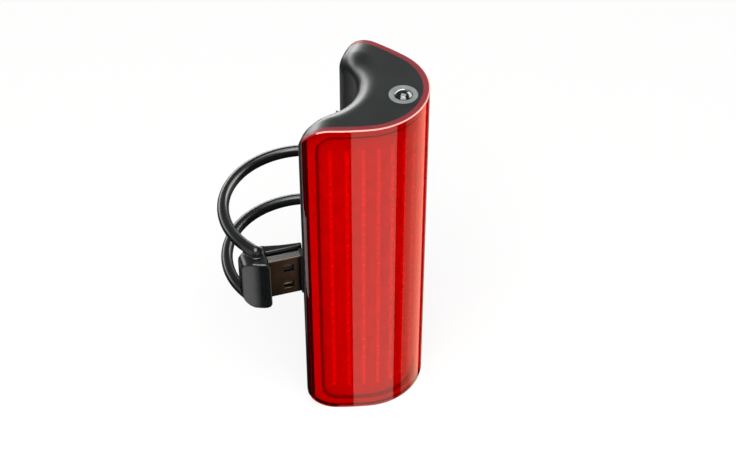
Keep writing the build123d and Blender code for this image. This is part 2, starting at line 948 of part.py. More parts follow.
def save(name, shape):
    """Write one node, as one solid or as a group of separate ones."""
    if isinstance(shape, (list, tuple)):
        shape = Compound(label=name, children=list(shape))
    shape.label = name
    export_step(shape, f"parts/{name}.step")


def save_light_engine():
    """Window frame, seal, LED board and its rows."""
    save("window_frame", make_window_frame())
    save("frame_seal", make_frame_seal())
    save("led_board", make_led_board())
    for index in range(row_count):
        save(f"led_row_{index + 1:02d}", make_led_row(index))


def save_button_parts():
    """Ring, button, switch and their board."""
    save("light_ring", make_light_ring())
    save("power_button", make_power_button())
    save("switch_plunger", make_switch_plunger())
    save("power_switch", make_power_switch())
    save("switch_board", make_switch_board())
    save("switch_board_screws", make_switch_screws())
    save("status_leds", make_status_leds())


def save_power_parts():
    """Main board with its parts, and the cell with its tapes and leads."""
    save("main_board", make_main_board())
    save("board_screws", make_board_screws())
    save("led_connector", make_led_connector())
    save("power_coil", make_power_coil())
    save("control_chip", board_chip(control_chip_size, chip_height, control_chip_z))
    save("charge_chip", board_chip(charge_chip_size, chip_height, charge_chip_z))
    save("board_capacitors", make_capacitors())
    save("battery_cell", make_cell())
    save("battery_tapes", make_cell_tapes())
    save("battery_socket", make_cell_socket())
    save("battery_lead_plus", make_cell_lead(lead_spread))
    save("battery_lead_minus", make_cell_lead(-lead_spread))


def save_plug_parts(body):
    """Plug, its boot, its board and its ribbon."""
    save("usb_shell", make_plug_shell())
    save("usb_insulator", make_plug_insulator())
    save("usb_contacts", make_plug_contacts())
    save("usb_board", make_plug_board())
    save("usb_boot", make_plug_boot(body))
    ribbon = make_plug_ribbon()
    save("usb_ribbon", ribbon)
    save("ribbon_socket", make_ribbon_socket(ribbon))


def save_strap_parts():
    """Strap's cords, anchor, pin and cap."""
    cords = [make_strap_cord(upper_cord_z), make_strap_cord(lower_cord_z)]
    save("strap_cord_upper", cords[0])
    save("strap_cord_lower", cords[1])
    save("strap_anchor", make_strap_anchor(cords))
    save("strap_pin", strap_pin_block())
    save("strap_cap", make_strap_cap())


def main():
    body = make_body()
    lens_band = raised(skin_face(-lens_thickness, lens_thickness, lens_end), -body_height, body_height)
    save("rear_housing", make_housing(body, lens_band))
    save("lens", make_lens(body))
    save("post_saddle", make_post_saddle())
    save_light_engine()
    save_button_parts()
    save_power_parts()
    save_plug_parts(body)
    save_strap_parts()


main()
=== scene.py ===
from math import atan2, cos, pi, radians, sin

import bpy
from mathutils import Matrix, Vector


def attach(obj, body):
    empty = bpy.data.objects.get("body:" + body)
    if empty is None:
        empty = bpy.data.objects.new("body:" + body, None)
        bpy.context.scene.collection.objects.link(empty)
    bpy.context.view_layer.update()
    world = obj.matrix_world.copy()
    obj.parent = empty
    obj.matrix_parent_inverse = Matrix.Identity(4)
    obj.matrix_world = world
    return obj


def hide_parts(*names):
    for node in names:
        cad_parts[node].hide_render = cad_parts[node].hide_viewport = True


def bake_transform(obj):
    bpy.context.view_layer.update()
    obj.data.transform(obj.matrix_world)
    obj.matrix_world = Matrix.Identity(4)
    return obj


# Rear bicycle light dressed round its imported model. Sizes are in metres, in the model's own frame.
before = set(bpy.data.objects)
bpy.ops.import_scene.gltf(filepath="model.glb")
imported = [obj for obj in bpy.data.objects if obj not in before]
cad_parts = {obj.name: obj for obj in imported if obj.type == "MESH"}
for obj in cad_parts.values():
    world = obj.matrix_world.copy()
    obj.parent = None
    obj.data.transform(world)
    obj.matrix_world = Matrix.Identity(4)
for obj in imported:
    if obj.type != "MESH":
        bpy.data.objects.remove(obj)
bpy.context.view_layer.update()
mm = 0.001


# Camera: above the light and off its near flank, as in the photograph. Turn and height are in degrees.
cameraView = {
    "place": (0.10188, -0.28744, 0.28588), "turn": 16.6, "height": 43.46, "lens": 80.6, "nearest": 0.01,
}


def addCamera():
    tilt = radians(90 - cameraView["height"])
    bpy.ops.object.camera_add(location=cameraView["place"], rotation=(tilt, 0, radians(cameraView["turn"])))
    camera = bpy.context.object
    camera.name = "photoCamera"
    camera.data.lens = cameraView["lens"]
    camera.data.clip_start = cameraView["nearest"]
    bpy.context.scene.camera = camera


addCamera()
print("camera set")


# Small helpers for meshes
weldDistance = 0.002 * mm


def deselectAll():
    if bpy.context.object and bpy.context.object.mode != "OBJECT":
        bpy.ops.object.mode_set(mode="OBJECT")
    bpy.ops.object.select_all(action="DESELECT")


def makeActive(piece):
    deselectAll()
    piece.select_set(True)
    bpy.context.view_layer.objects.active = piece


def applyPlace(piece):
    makeActive(piece)
    bpy.ops.object.transform_apply(location=True, rotation=True, scale=True)


def selectVertices(piece, wanted):
    # leaves edit mode with just the vertices that the test wants selected
    makeActive(piece)
    bpy.ops.object.mode_set(mode="EDIT")
    bpy.ops.mesh.select_mode(type="VERT")
    bpy.ops.mesh.select_all(action="DESELECT")
    bpy.ops.object.mode_set(mode="OBJECT")
    for vertex in piece.data.vertices:
        vertex.select = wanted(vertex.co)
    bpy.ops.object.mode_set(mode="EDIT")


def applyModifier(piece, kind, settings):
    makeActive(piece)
    modifier = piece.modifiers.new(kind.lower(), kind)
    for key, value in settings.items():
        setattr(modifier, key, value)
    bpy.ops.object.modifier_apply(modifier=modifier.name)


def cleanMesh(piece):
    makeActive(piece)
    bpy.ops.object.mode_set(mode="EDIT")
    bpy.ops.mesh.select_all(action="SELECT")
    bpy.ops.mesh.remove_doubles(threshold=weldDistance)
    bpy.ops.mesh.normals_make_consistent(inside=False)
    bpy.ops.object.mode_set(mode="OBJECT")


def smoothAll(piece):
    makeActive(piece)
    bpy.ops.object.shade_smooth()


def copyNode(node, name):
    # a copy of a CAD node's mesh, with its loose triangles joined up
    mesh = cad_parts[node].data.copy()
    piece = bpy.data.objects.new(name, mesh)
    bpy.context.scene.collection.objects.link(piece)
    makeActive(piece)
    bpy.ops.mesh.customdata_custom_splitnormals_clear()
    cleanMesh(piece)
    return piece


# Small helpers for materials
def linear(hexColour):
    # sRGB hex to the linear colour that shaders take
    channels = []
    for start in (0, 2, 4):
        value = int(hexColour[start:start + 2], 16) / 255
        channels.append(value / 12.92 if value <= 0.04045 else ((value + 0.055) / 1.055) ** 2.4)
    return (*channels, 1)


def perMetre(millimetres):
    # pattern scale for details of this size
    return 1 / (millimetres * mm)


def addNode(tree, kind, settings=None, links=None):
    node = tree.nodes.new(kind)
    for key, value in (settings or {}).items():
        if isinstance(key, int) or key in node.inputs:
            node.inputs[key].default_value = value
        else:
            setattr(node, key, value)
    for key, source in (links or {}).items():
        tree.links.new(source, node.inputs[key])
    return node


def startMaterial(name):
    material = bpy.data.materials.new(name)
    material.use_nodes = True
    tree = material.node_tree
    tree.nodes.clear()
    return material, tree


def finishMaterial(tree, surface):
    addNode(tree, "ShaderNodeOutputMaterial", links={"Surface": surface})


def placeOf(tree):
    return addNode(tree, "ShaderNodeTexCoord").outputs["Object"]


def facingOf(tree):
    # parts of the surface's own direction
    normal = addNode(tree, "ShaderNodeTexCoord").outputs["Normal"]
    return addNode(tree, "ShaderNodeSeparateXYZ", links={0: normal}).outputs


def withoutSign(tree, value):
    return addNode(tree, "ShaderNodeMath", {"operation": "ABSOLUTE"}, {0: value}).outputs[0]


# Patterns of all moulded and brushed surfaces: where the colour cloud changes over, how much finer the cloud
# in the sheen is, how deep the mould's grain is for its width, and how deep the streaks of brushed metal are
patterns = {
    "cloudEdges": (0.35, 0.65), "sheenShare": 0.6, "grainDepth": 0.1, "streakDepth": 0.01 * mm,
}


def rampBetween(tree, value, edges, colours):
    ramp = addNode(tree, "ShaderNodeValToRGB", links={"Fac": value})
    for element, edge, colour in zip(ramp.color_ramp.elements, edges, colours):
        element.position = edge
        element.color = linear(colour)
    return ramp.outputs["Color"]


def cloudColour(tree, place, look):
    # slow drift between two near colours, as in any moulded or coated surface
    cloud = addNode(
        tree, "ShaderNodeTexNoise", {"Scale": perMetre(look["cloud"]), "Detail": 4}, {"Vector": place}
    )
    colours = (look["dark"], look["light"])
    return rampBetween(tree, cloud.outputs["Fac"], patterns["cloudEdges"], colours)


def roughnessBand(tree, value, look):
    low, high = look["roughness"]
    return addNode(tree, "ShaderNodeMapRange", {3: low, 4: high}, {0: value}).outputs[0]


def bumpFrom(tree, height, strength, depth):
    bump = addNode(tree, "ShaderNodeBump", {"Strength": strength, "Distance": depth}, {"Height": height})
    return bump.outputs["Normal"]


def mouldedMaterial(name, look):
    # injection-moulded plastic or rubber: slow colour drift, uneven sheen and the fine grain of the mould
    material, tree = startMaterial(name)
    place = placeOf(tree)
    colour = cloudColour(tree, place, look)
    sheenScale = perMetre(look["cloud"] * patterns["sheenShare"])
    sheen = addNode(tree, "ShaderNodeTexNoise", {"Scale": sheenScale, "Detail": 5}, {"Vector": place})
    grain = addNode(
        tree, "ShaderNodeTexNoise", {"Scale": perMetre(look["grain"]), "Detail": 3}, {"Vector": place}
    )
    grainDepth = look["grain"] * mm * patterns["grainDepth"]
    shader = addNode(
        tree, "ShaderNodeBsdfPrincipled", look.get("sockets", {}),
        {
            "Base Color": colour,
            "Roughness": roughnessBand(tree, sheen.outputs["Fac"], look),
            "Normal": bumpFrom(tree, grain.outputs["Fac"], look["bump"], grainDepth),
        },
    )
    finishMaterial(tree, shader.outputs[0])
    return material


def paintedSheenColour(tree, colour, look):
    # painted highlight: the sides that face up and down are painted brighter, standing in for the light that
    # they mirror, up to their rounded edges
    side = addNode(
        tree, "ShaderNodeMapRange", {1: look["paintedSheenFrom"], 2: look["paintedSheenTo"]},
        {0: withoutSign(tree, facingOf(tree)["Z"])},
    )
    sheened = addNode(
        tree, "ShaderNodeMix", {"data_type": "RGBA", 7: linear(look["paintedSheen"])},
        {0: side.outputs[0], 6: colour},
    )
    return sheened.outputs[2]


def brushedMaterial(name, look):
    # metal drawn or brushed along one axis: long fine streaks in the sheen and the height
    material, tree = startMaterial(name)
    place = placeOf(tree)
    stretched = addNode(
        tree, "ShaderNodeMapping", {"Rotation": look["turn"], "Scale": look["stretch"]}, {"Vector": place}
    )
    streaks = addNode(
        tree, "ShaderNodeTexNoise", {"Scale": perMetre(look["grain"]), "Detail": 4},
        {"Vector": stretched.outputs[0]},
    ).outputs["Fac"]
    colour = cloudColour(tree, place, look)
    # painted highlight on the sides that face up and down
    if "paintedSheen" in look:
        colour = paintedSheenColour(tree, colour, look)
    shader = addNode(
        tree, "ShaderNodeBsdfPrincipled", {"Metallic": 1.0},
        {
            "Base Color": colour,
            "Roughness": roughnessBand(tree, streaks, look),
            "Normal": bumpFrom(tree, streaks, look["bump"], patterns["streakDepth"]),
        },
    )
    finishMaterial(tree, shader.outputs[0])
    return material


# Lens: polycarbonate tinted red in the melt and polished in the mould. It bends what lies under it a little.
# Its end faces are a duller crimson, lit from inside the wall, and its fine chamfer carries a painted
# highlight, a matt pale colour. The from and to values are how far up or down a face looks where the finish
# of the ends starts and is full.
lensLook = {
    "tint": "F40A10", "ior": 1.58, "scuff": 1.5, "roughness": (0.0, 0.05),
    "flow": 18, "flowBump": 0.05, "flowDepth": 0.05 * mm,
    "end": "861F29", "endFrom": 0.1, "endTo": 0.25, "endShare": 0.85,
    "endSockets": {
        "Roughness": 0.5, "Specular IOR Level": 0.2, "Subsurface Weight": 0.6,
        "Subsurface Radius": (2 * mm, 0.4 * mm, 0.4 * mm), "Subsurface Scale": 1.0,
    },
    # the chamfer's pale colour is a painted highlight
    "chamfer": "F59A90", "chamferRoughness": 0.5, "chamferSlope": 0.707, "slopeSpread": 0.03, "outward": -0.2,
}


def clearRedPolycarbonate():
    material, tree = startMaterial("clearRedPolycarbonate")
    place = placeOf(tree)
    flow = addNode(
        tree, "ShaderNodeTexNoise", {"Scale": perMetre(lensLook["flow"]), "Detail": 2}, {"Vector": place}
    )
    ripple = bumpFrom(tree, flow.outputs["Fac"], lensLook["flowBump"], lensLook["flowDepth"])
    scuffs = addNode(
        tree, "ShaderNodeTexNoise", {"Scale": perMetre(lensLook["scuff"]), "Detail": 6}, {"Vector": place}
    )
    glass = addNode(
        tree, "ShaderNodeBsdfPrincipled",
        {"Base Color": linear(lensLook["tint"]), "IOR": lensLook["ior"], "Transmission Weight": 1.0},
        {"Normal": ripple, "Roughness": roughnessBand(tree, scuffs.outputs["Fac"], lensLook)},
    )
    # light goes straight through it to the board
    clear = addNode(tree, "ShaderNodeBsdfTransparent", {"Color": linear(lensLook["tint"])})
    path = addNode(tree, "ShaderNodeLightPath")
    straight = addNode(
        tree, "ShaderNodeMath", {"operation": "MAXIMUM"},
        {0: path.outputs["Is Shadow Ray"], 1: path.outputs["Is Diffuse Ray"]},
    )
    wall = addNode(
        tree, "ShaderNodeMixShader", links={0: straight.outputs[0], 1: glass.outputs[0], 2: clear.outputs[0]}
    )
    facing = facingOf(tree)
    flat = withoutSign(tree, facing["Z"])
    end = addNode(
        tree, "ShaderNodeBsdfPrincipled", {"Base Color": linear(lensLook["end"]), **lensLook["endSockets"]}
    )
    level = addNode(
        tree, "ShaderNodeMapRange",
        {1: lensLook["endFrom"], 2: lensLook["endTo"], 3: 0.0, 4: lensLook["endShare"]}, {0: flat},
    )
    ended = addNode(
        tree, "ShaderNodeMixShader", links={0: level.outputs[0], 1: wall.outputs[0], 2: end.outputs[0]}
    )
    # painted highlight: a pale matt colour on the chamfer, which faces outwards; the rounded cut at the
    # horns, as steep in places, faces the post and keeps the lens's own finish
    chamfer = addNode(
        tree, "ShaderNodeBsdfPrincipled",
        {"Base Color": linear(lensLook["chamfer"]), "Roughness": lensLook["chamferRoughness"]},
    )
    slope = addNode(
        tree, "ShaderNodeMath",
        {"operation": "COMPARE", 1: lensLook["chamferSlope"], 2: lensLook["slopeSpread"]}, {0: flat},
    )
    outward = addNode(
        tree, "ShaderNodeMath", {"operation": "GREATER_THAN", 1: lensLook["outward"]}, {0: facing["X"]}
    )
    edge = addNode(
        tree, "ShaderNodeMath", {"operation": "MULTIPLY"}, {0: slope.outputs[0], 1: outward.outputs[0]}
    )
    edged = addNode(
        tree, "ShaderNodeMixShader", links={0: edge.outputs[0], 1: ended.outputs[0], 2: chamfer.outputs[0]}
    )
    finishMaterial(tree, edged.outputs[0])
    return material


# Looks of the other pieces. Cloud and grain are the sizes of the colour drift and of the mould's grain in
# millimetres, roughness is the range of the sheen, and bump is the strength of the grain. Turn and stretch
# lay a metal's streaks along its piece.
housingPlastic = {
    # black glass-filled nylon with a fine spark-eroded mould finish, a satin that blurs what it mirrors
    "dark": "0C0F0E", "light": "121615", "cloud": 9, "roughness": (0.26, 0.34), "grain": 0.35, "bump": 0.12,
}
framePlastic = {
    # white glossy ABS, moulded, so that it throws the LEDs' light back out
    "dark": "C9C5C0", "light": "D2CEC9", "cloud": 6, "roughness": (0.35, 0.5), "grain": 0.4, "bump": 0.1,
}
sealRubber = {
    # moulded red-brown silicone seal, matt, a darker line under the red lens
    "dark": "6E3A34", "light": "7E4640", "cloud": 3, "roughness": (0.5, 0.7), "grain": 0.3, "bump": 0.2,
}
boardMask = {
    # white solder mask, screen-printed on an aluminium core: a flat, slightly warm white
    "dark": "C4BFB9", "light": "CECAC4", "cloud": 4, "roughness": (0.4, 0.55), "grain": 0.25, "bump": 0.15,
}
ledSilicone = {
    # clear silicone poured over the dice, slightly yellow, glossy and soft in the light
    "dark": "E6D2CC", "light": "F0DED8", "cloud": 1.0, "roughness": (0.12, 0.25), "grain": 0.3, "bump": 0.1,
    "sockets": {"Subsurface Weight": 0.3, "Subsurface Radius": (0.6 * mm, 0.3 * mm, 0.3 * mm)},
}
ringPlastic = {
    # frosted translucent polycarbonate light guide, moulded: an even soft grey
    "dark": "727878", "light": "828888", "cloud": 2.5, "roughness": (0.35, 0.45), "grain": 0.2, "bump": 0.08,
    "sockets": {"Subsurface Weight": 0.25, "Subsurface Radius": (1 * mm, 1 * mm, 1 * mm)},
}
buttonPlastic = {
    # polished black polycarbonate, which mirrors the lights sharply
    "dark": "0B0B0C", "light": "121214", "cloud": 2, "roughness": (0.05, 0.12), "grain": 0.6, "bump": 0.03,
    "sockets": {"Coat Weight": 0.6, "Coat Roughness": 0.05},
}
strapSilicone = {
    # black silicone rubber from a polished mould, so its highlights stay tight
    "dark": "0C0D0E", "light": "131516", "cloud": 5, "roughness": (0.17, 0.26), "grain": 0.3, "bump": 0.08,
}
bootRubber = {
    # moulded black rubber, duller than the strap
    "dark": "0E0E0F", "light": "161617", "cloud": 2, "roughness": (0.5, 0.65), "grain": 0.25, "bump": 0.2,
}
plugTurn = radians(-33.4)  # turns the streaks of the plug's metals along it
plugMetal = {
    # steel shell plated with black nickel, polished along its length, with a painted highlight on its narrow
    # sides
    "dark": "33261F", "light": "40322A", "cloud": 3, "roughness": (0.22, 0.36), "grain": 0.12, "bump": 0.15,
    "paintedSheen": "A4A29E", "paintedSheenFrom": 0.97, "paintedSheenTo": 0.995,
    "turn": (0, 0, plugTurn), "stretch": (0.05, 1, 1),
}
insulatorPlastic = {
    # black glass-filled polyester, moulded, with a low sheen
    "dark": "121213", "light": "1B1B1C", "cloud": 3, "roughness": (0.4, 0.5), "grain": 0.3, "bump": 0.1,
}
contactGold = {
    # phosphor bronze with a thin gold flash, dull from use
    "dark": "8A7A58", "light": "9C8C68", "cloud": 1.5, "roughness": (0.18, 0.3), "grain": 0.08, "bump": 0.15,
    "turn": (0, 0, plugTurn), "stretch": (0.05, 1, 1),
}
chipEpoxy = {
    # moulded epoxy with silica in it: a matt dark grey with a sandy grain
    "dark": "1A1A1B", "light": "242425", "cloud": 1.2, "roughness": (0.5, 0.65), "grain": 0.12, "bump": 0.3,
}
ferrite = {
    # pressed and sintered powder, dull and slightly rough
    "dark": "3A3A3B", "light": "4A4A4B", "cloud": 1.0, "roughness": (0.6, 0.75), "grain": 0.15, "bump": 0.4,
}
ceramic = {
    # fired barium titanate, tan with a faint sheen
    "dark": "A98B66", "light": "BFA27C", "cloud": 0.8, "roughness": (0.35, 0.5), "grain": 0.1, "bump": 0.15,
}
cellFoil = {
    # embossed aluminium laminate of a pouch cell, with fine shallow dimples
    "dark": "C2C3C6", "light": "D2D3D6", "cloud": 7, "roughness": (0.28, 0.4), "grain": 0.9, "bump": 0.3,
    "turn": (0, 0, 0), "stretch": (1, 1, 1),
}
screwSteel = {
    # zinc-plated steel, bright with fine streaks along the shank
    "dark": "B4B6BA", "light": "C6C8CC", "cloud": 1.0, "roughness": (0.25, 0.35), "grain": 0.1, "bump": 0.15,
    "turn": (0, 0, 0), "stretch": (1, 1, 0.1),
}
redWire = {
    # extruded PVC jacket, smooth and slightly shiny
    "dark": "B01212", "light": "C41A1A", "cloud": 2, "roughness": (0.3, 0.4), "grain": 0.2, "bump": 0.08,
}
blackWire = {
    # the same jacket in black
    "dark": "0F0F10", "light": "18181A", "cloud": 2, "roughness": (0.3, 0.4), "grain": 0.2, "bump": 0.08,
}
foamTape = {
    # die-cut polyurethane foam with open cells, quite matt
    "dark": "26262A", "light": "36363A", "cloud": 1, "roughness": (0.8, 0.95), "grain": 0.35, "bump": 0.6,
}
circuitBoard = {
    # green solder mask over copper tracks: the tracks stand out as slightly lighter raised lines
    "mask": ("0B4A22", "0D5226"), "track": "1C7A3C", "spacing": 2.2, "trackWidth": 0.03, "trackEdge": 0.2,
    "roughness": 0.3, "bump": 0.3, "trackDepth": 0.03 * mm,
}
ribbonFilm = {
    # amber film over parallel copper lines that run round the ribbon's bends, about 1 mm apart along Z
    "dark": "A85A14", "light": "C97F2E", "edges": (0.4, 0.6), "roughness": 0.25,
    "spacing": 1.0, "waveCycle": 3.14,  # a wave texture repeats a little over 3 times in a unit of its scale
}


def solderMaskedBoard():
    material, tree = startMaterial("greenSolderMask")
    first, second = circuitBoard["mask"]
    tracks = addNode(
        tree, "ShaderNodeTexBrick",
        {
            "Scale": perMetre(circuitBoard["spacing"]), "Mortar Size": circuitBoard["trackWidth"],
            "Mortar Smooth": circuitBoard["trackEdge"], "Color1": linear(first), "Color2": linear(second),
            "Mortar": linear(circuitBoard["track"]),
        },
        {"Vector": placeOf(tree)},
    )
    raised = bumpFrom(tree, tracks.outputs["Fac"], circuitBoard["bump"], circuitBoard["trackDepth"])
    shader = addNode(
        tree, "ShaderNodeBsdfPrincipled", {"Roughness": circuitBoard["roughness"]},
        {"Base Color": tracks.outputs["Color"], "Normal": raised},
    )
    finishMaterial(tree, shader.outputs[0])
    return material


def polyimideFilm():
    material, tree = startMaterial("polyimideFilm")
    lines = addNode(
        tree, "ShaderNodeTexWave",
        {
            "bands_direction": "Z", "Scale": perMetre(ribbonFilm["spacing"]) / ribbonFilm["waveCycle"],
            "Distortion": 0.0,
        },
        {"Vector": placeOf(tree)},
    )
    colours = (ribbonFilm["dark"], ribbonFilm["light"])
    shader = addNode(
        tree, "ShaderNodeBsdfPrincipled", {"Roughness": ribbonFilm["roughness"]},
        {"Base Color": rampBetween(tree, lines.outputs["Fac"], ribbonFilm["edges"], colours)},
    )
    finishMaterial(tree, shader.outputs[0])
    return material


def dressNodes():
    ledRows = [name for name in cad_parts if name.startswith("led_row_")]
    finishes = [
        (clearRedPolycarbonate(), ["lens"]),
        (mouldedMaterial("blackNylon", housingPlastic), ["rear_housing"]),
        (
            mouldedMaterial("whiteAbs", framePlastic),
            ["window_frame", "ribbon_socket", "battery_socket", "led_connector"],
        ),
        (mouldedMaterial("sealRubber", sealRubber), ["frame_seal"]),
        (mouldedMaterial("whiteSolderMask", boardMask), ["led_board"]),
        (mouldedMaterial("ledSilicone", ledSilicone), [*ledRows, "status_leds"]),
        (mouldedMaterial("frostedRingPlastic", ringPlastic), ["light_ring"]),
        (mouldedMaterial("polishedBlackPlastic", buttonPlastic), ["power_button"]),
        (bootMaterial, ["usb_boot"]),
        (brushedMaterial("blackNickel", plugMetal), ["usb_shell"]),
        (mouldedMaterial("insulatorPlastic", insulatorPlastic), ["usb_insulator"]),
        (brushedMaterial("goldFlash", contactGold), ["usb_contacts"]),
        (solderMaskedBoard(), ["main_board", "switch_board", "usb_board"]),
        (
            mouldedMaterial("mouldedEpoxy", chipEpoxy),
            ["control_chip", "charge_chip", "power_switch", "switch_plunger"],
        ),
        (mouldedMaterial("sinteredFerrite", ferrite), ["power_coil"]),
        (mouldedMaterial("firedCeramic", ceramic), ["board_capacitors"]),
        (brushedMaterial("foilLaminate", cellFoil), ["battery_cell"]),
        (brushedMaterial("zincPlate", screwSteel), ["board_screws", "switch_board_screws", "strap_pin"]),
        (mouldedMaterial("redWireJacket", redWire), ["battery_lead_plus"]),
        (mouldedMaterial("blackWireJacket", blackWire), ["battery_lead_minus"]),
        (mouldedMaterial("foamTape", foamTape), ["battery_tapes"]),
        (polyimideFilm(), ["usb_ribbon"]),
        (strapMaterial, ["strap_cap", "strap_anchor", "post_saddle", "strap_cord_upper", "strap_cord_lower"]),
    ]
    for material, nodes in finishes:
        for node in nodes:
            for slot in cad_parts[node].material_slots:
                slot.material = material


strapMaterial = mouldedMaterial("blackSilicone", strapSilicone)
bootMaterial = mouldedMaterial("bootRubber", bootRubber)
dressNodes()
print("CAD nodes dressed")


def takeNodePlace(piece, node, material):
    piece.data.materials.clear()
    piece.data.materials.append(material)
    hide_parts(node)


# Strap cords: two round silicone cords from the anchor behind the far horn, round the post's space, to the
# cap. Each is an arc about the post with a tighter bend into the anchor.
cord = {
    "radius": 1.5 * mm, "sides": 32,
    "loopRadius": 20.8 * mm, "startAngle": 115, "endAngle": 252, "loopSteps": 96,
    "bendRadius": 9.7 * mm, "bendTurn": 81, "bendSteps": 28, "ringReach": 1.01, "ringSpread": 0.001,
    "tipRings": 7, "tipEnd": 0.02,
    "middle": -1.8 * mm, "spacing": 17 * mm, "stretchFrom": 15 * mm, "stretchTo": -16.5 * mm,
}


def makeCord(name, node, height):
    radius, loop = cord["radius"], cord["loopRadius"]
    start, end = radians(cord["startAngle"]), radians(cord["endAngle"])
    startPlace = Vector((loop * cos(start), loop * sin(start), height))
    deselectAll()
    bpy.ops.mesh.primitive_circle_add(
        vertices=cord["sides"], radius=radius, location=startPlace, rotation=(pi / 2, 0, start)
    )
    piece = bpy.context.object
    piece.name = name
    applyPlace(piece)
    bpy.ops.object.mode_set(mode="EDIT")
    bpy.ops.mesh.select_all(action="SELECT")
    bpy.ops.mesh.spin(steps=cord["loopSteps"], angle=start - end, center=(0, 0, height), axis=(0, 0, 1))
    # rounded tip on the cap: rings that follow a quarter circle
    tip = Vector((loop * cos(end), loop * sin(end), height))
    along = Vector((-sin(end), cos(end), 0))
    reached, wide = 0, 1
    for ring in range(1, cord["tipRings"] + 1):
        turn = ring / cord["tipRings"] * pi / 2
        step = radius * sin(turn) - reached
        reached += step
        bpy.ops.mesh.extrude_region_move(TRANSFORM_OT_translate={"value": along * step})
        size = max(cos(turn), cord["tipEnd"])
        bpy.ops.transform.resize(value=[size / wide] * 3, center_override=tip + along * reached)
        wide = size
    bpy.ops.mesh.merge(type="CENTER")

    # tighter bend into the anchor, from the ring where the arc started
    def inFirstRing(co):
        near = (co - startPlace).length < radius * cord["ringReach"]
        return near and abs(atan2(co.y, co.x) - start) < cord["ringSpread"]

    selectVertices(piece, inFirstRing)
    inner = loop - cord["bendRadius"]
    bpy.ops.mesh.spin(
        steps=cord["bendSteps"], angle=radians(cord["bendTurn"]),
        center=(inner * cos(start), inner * sin(start), height), axis=(0, 0, 1),
    )
    bpy.ops.object.mode_set(mode="OBJECT")
    cleanMesh(piece)
    smoothAll(piece)
    takeNodePlace(piece, node, strapMaterial)
    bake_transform(piece)


makeCord("strapCordUpper", "strap_cord_upper", cord["middle"] + cord["spacing"] / 2)
makeCord("strapCordLower", "strap_cord_lower", cord["middle"] - cord["spacing"] / 2)
print("strap cords made")


# Soft mouldings taken from their solids: the sharp edges get the small rounds of a silicone mould
edgeRound = {
    "saddle": 0.25 * mm, "anchor": 0.3 * mm, "boot": 0.15 * mm,
    "segments": 3, "sharpFrom": 35, "smoothTo": 45,
}


def makeEdgedMoulding(name, node, width, material):
    piece = copyNode(node, name)
    applyModifier(
        piece, "BEVEL",
        {
            "width": width, "segments": edgeRound["segments"], "limit_method": "ANGLE",
            "angle_limit": radians(edgeRound["sharpFrom"]),
        },
    )
    makeActive(piece)
    bpy.ops.object.shade_smooth_by_angle(angle=radians(edgeRound["smoothTo"]))
    takeNodePlace(piece, node, material)
    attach(piece, "root")


# The cap is one silicone moulding, so every edge of it is round
cap = {"voxel": 0.22 * mm, "smoothing": 6, "smoothShare": 0.5}


def makeStrapCap():
    piece = copyNode("strap_cap", "strapCapMoulding")
    applyModifier(piece, "REMESH", {"mode": "VOXEL", "voxel_size": cap["voxel"]})
    applyModifier(piece, "SMOOTH", {"factor": cap["smoothShare"], "iterations": cap["smoothing"]})
    smoothAll(piece)
    takeNodePlace(piece, "strap_cap", strapMaterial)
    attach(piece, "cap")


makeEdgedMoulding("postSaddlePad", "post_saddle", edgeRound["saddle"], strapMaterial)
makeEdgedMoulding("strapAnchorMoulding", "strap_anchor", edgeRound["anchor"], strapMaterial)
makeEdgedMoulding("plugBoot", "usb_boot", edgeRound["boot"], bootMaterial)
makeStrapCap()
print("soft mouldings made")


# Floor and room: a pale floor, and a pale room that is dim overhead and, with its window on the left, dimmer
# on the right. The from and to values are the parts of a direction between which the room changes.
stage = {
    "floorSize": 6.0, "floorHeight": -47.5 * mm, "floorColour": "F4F4F2", "floorGlow": 0.82,
    "horizon": 1.0, "zenith": 0.2, "riseFrom": 0.2, "riseTo": 0.6,
    "leftSide": 1.0, "rightSide": 0.65, "sideFrom": -0.2, "sideTo": 0.9,
}
white = (1, 1, 1, 1)


def floorMaterial():
    # matt paint, which the camera, mirrors and glass see mostly as an even pale glow
    material, tree = startMaterial("paleFloor")
    paint = addNode(tree, "ShaderNodeBsdfDiffuse", {"Color": linear(stage["floorColour"])})
    glow = addNode(tree, "ShaderNodeEmission", {"Color": white, "Strength": 1.0})
    path = addNode(tree, "ShaderNodeLightPath")
    seen = path.outputs["Is Camera Ray"]
    for ray in ("Is Glossy Ray", "Is Transmission Ray"):
        seen = addNode(
            tree, "ShaderNodeMath", {"operation": "MAXIMUM"}, {0: seen, 1: path.outputs[ray]}
        ).outputs[0]
    share = addNode(tree, "ShaderNodeMath", {"operation": "MULTIPLY", 1: stage["floorGlow"]}, {0: seen})
    mix = addNode(
        tree, "ShaderNodeMixShader", links={0: share.outputs[0], 1: paint.outputs[0], 2: glow.outputs[0]}
    )
    finishMaterial(tree, mix.outputs[0])
    return material


def addFloor():
    deselectAll()
    bpy.ops.mesh.primitive_plane_add(size=stage["floorSize"], location=(0, 0, stage["floorHeight"]))
    floor = bpy.context.object
    floor.name = "floor"
    applyPlace(floor)
    floor.data.materials.append(floorMaterial())


